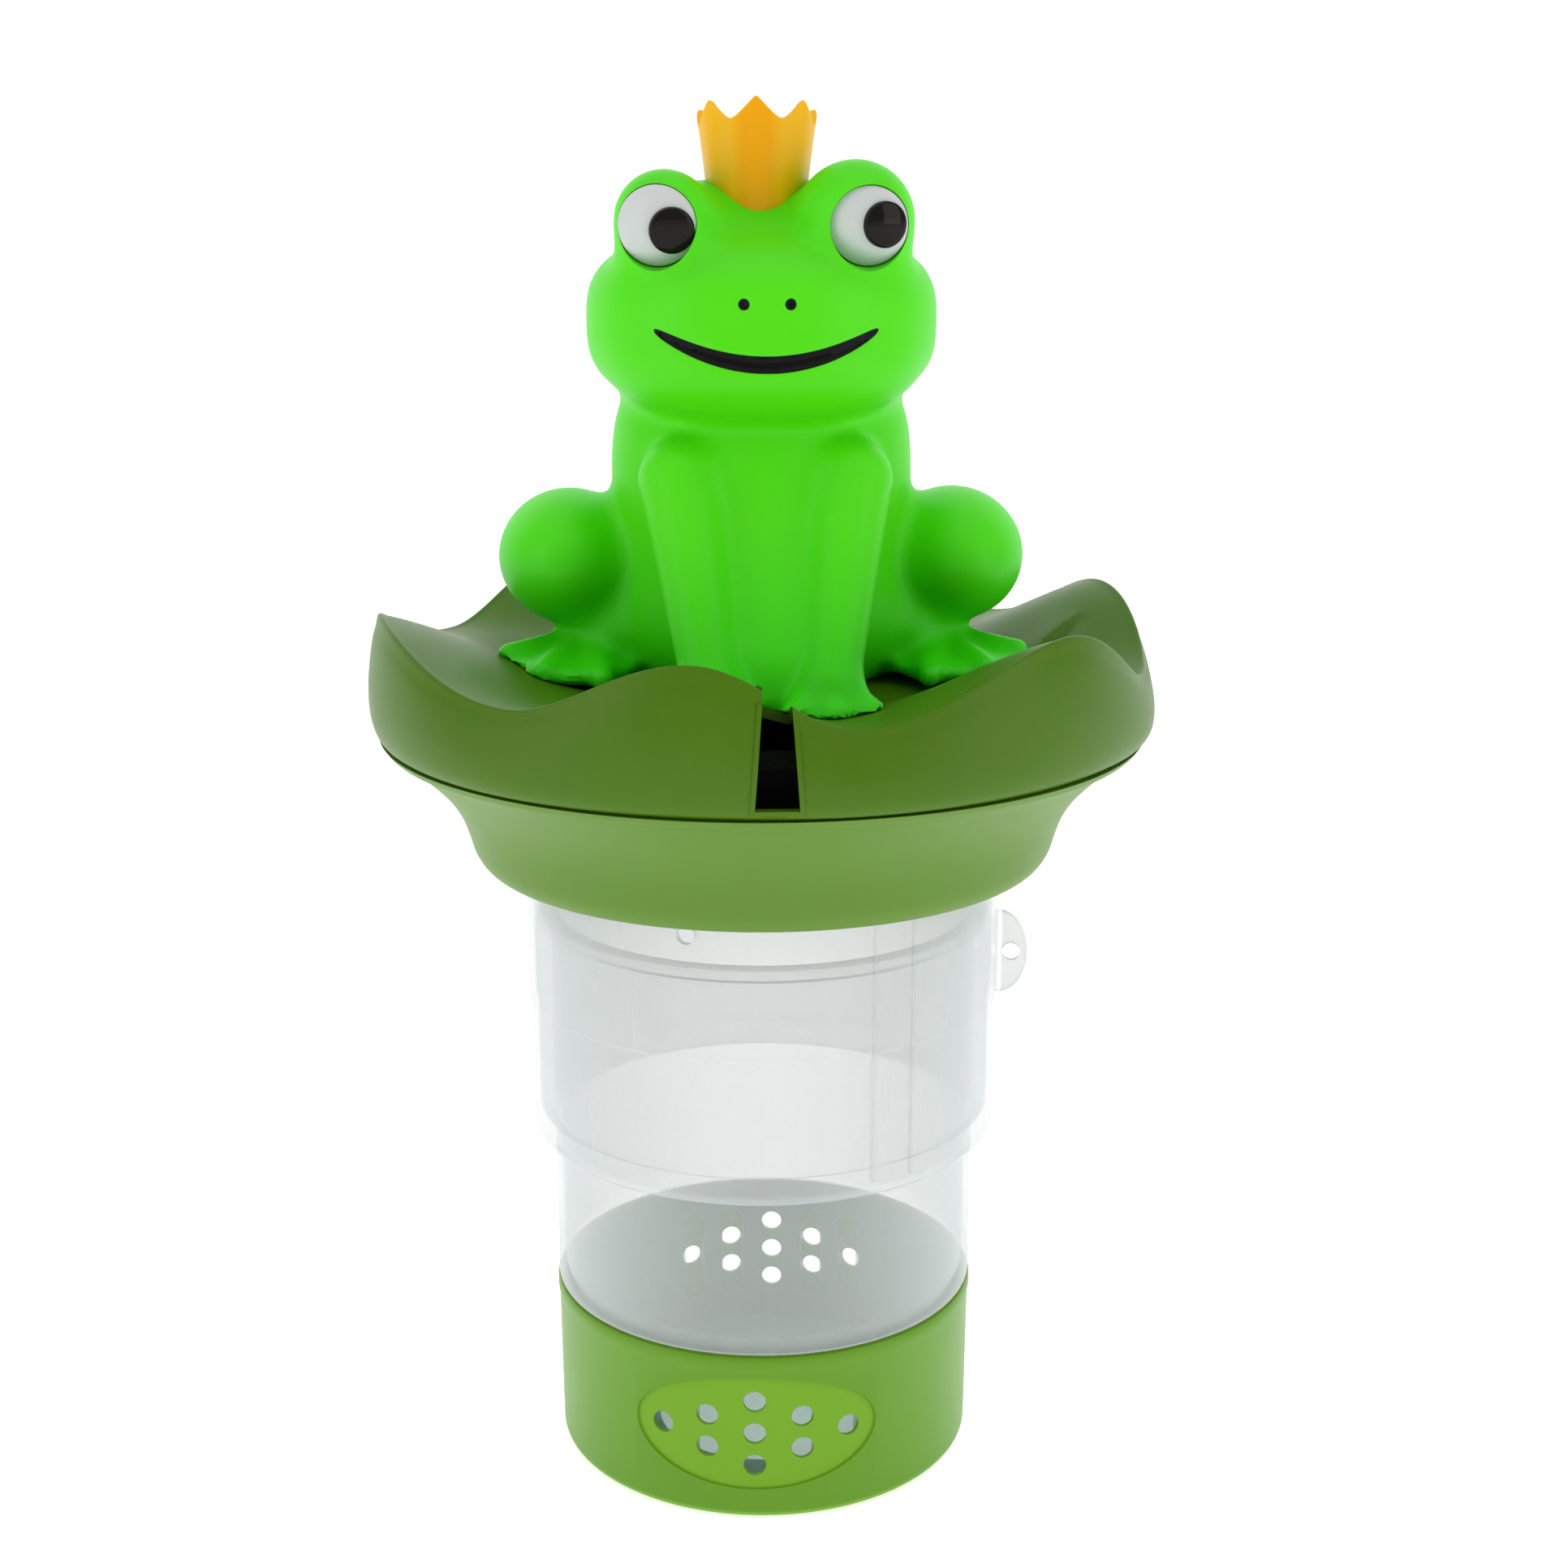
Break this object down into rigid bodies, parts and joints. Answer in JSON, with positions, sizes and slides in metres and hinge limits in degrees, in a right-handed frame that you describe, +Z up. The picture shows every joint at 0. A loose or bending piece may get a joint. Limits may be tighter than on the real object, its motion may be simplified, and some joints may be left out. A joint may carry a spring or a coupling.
{
  "type": "floating chlorine dispenser",
  "caption": "Crowned frog on a lily-pad float, over a clear telescoping tablet canister with a turning vented base cup.",
  "frame": {"origin": "centre of the base cup's underside", "axes": "+Z up along the canister's axis; the frog faces -Y; +X is to the right of someone facing the frog"},
  "size_m": [0.1802, 0.1806, 0.3181],
  "materials": {
    "cup_green_plastic": "satin moulded polypropylene, grass green",
    "clear_plastic": "natural translucent polypropylene, slightly cloudy",
    "olive_plastic": "fine satin moulded plastic, olive green",
    "bowl_green_plastic": "fine satin moulded plastic, leaf green",
    "foam": "black closed-cell foam",
    "plate_plastic": "moulded nylon",
    "frog_vinyl": "soft vinyl, bright green, satin",
    "crown_vinyl": "amber vinyl, slightly translucent",
    "eye_white": "satin white",
    "pupil_black": "gloss black",
    "screw_steel": "stainless steel"
  },
  "bodies": {
    "base": {"base_cup": "cup_green_plastic"},
    "canister": {"lower_sleeve": "clear_plastic"},
    "sleeve": {"upper_sleeve": "clear_plastic"},
    "float": {"lily_pad": "olive_plastic", "float_bowl": "bowl_green_plastic", "float_foam_ring": "foam", "float_screw_1": "screw_steel", "float_screw_2": "screw_steel", "float_screw_3": "screw_steel", "float_screw_4": "screw_steel", "frog_screw_1": "screw_steel", "frog_screw_2": "screw_steel", "frog_screw_3": "screw_steel", "frog_mount_plate": "plate_plastic", "frog_body": "frog_vinyl", "crown": "crown_vinyl", "eye_white_left": "eye_white", "eye_white_right": "eye_white", "pupil_left": "pupil_black", "pupil_right": "pupil_black"}
  },
  "joints": [
    {"name": "dose_turn", "type": "hinge", "parent": "base", "child": "canister", "pos_m": [0, 0, 0], "axis": [0, 0, 1], "range_deg": [0, 65]},
    {"name": "sleeve_slide", "type": "slide", "parent": "canister", "child": "sleeve", "axis": [0, 0, 1], "range_m": [-0.0365, 0.045]},
    {"name": "float_twist_lock", "type": "hinge", "parent": "sleeve", "child": "float", "pos_m": [0, 0, 0.16], "axis": [0, 0, 1], "range_deg": [0, 35]}
  ]
}
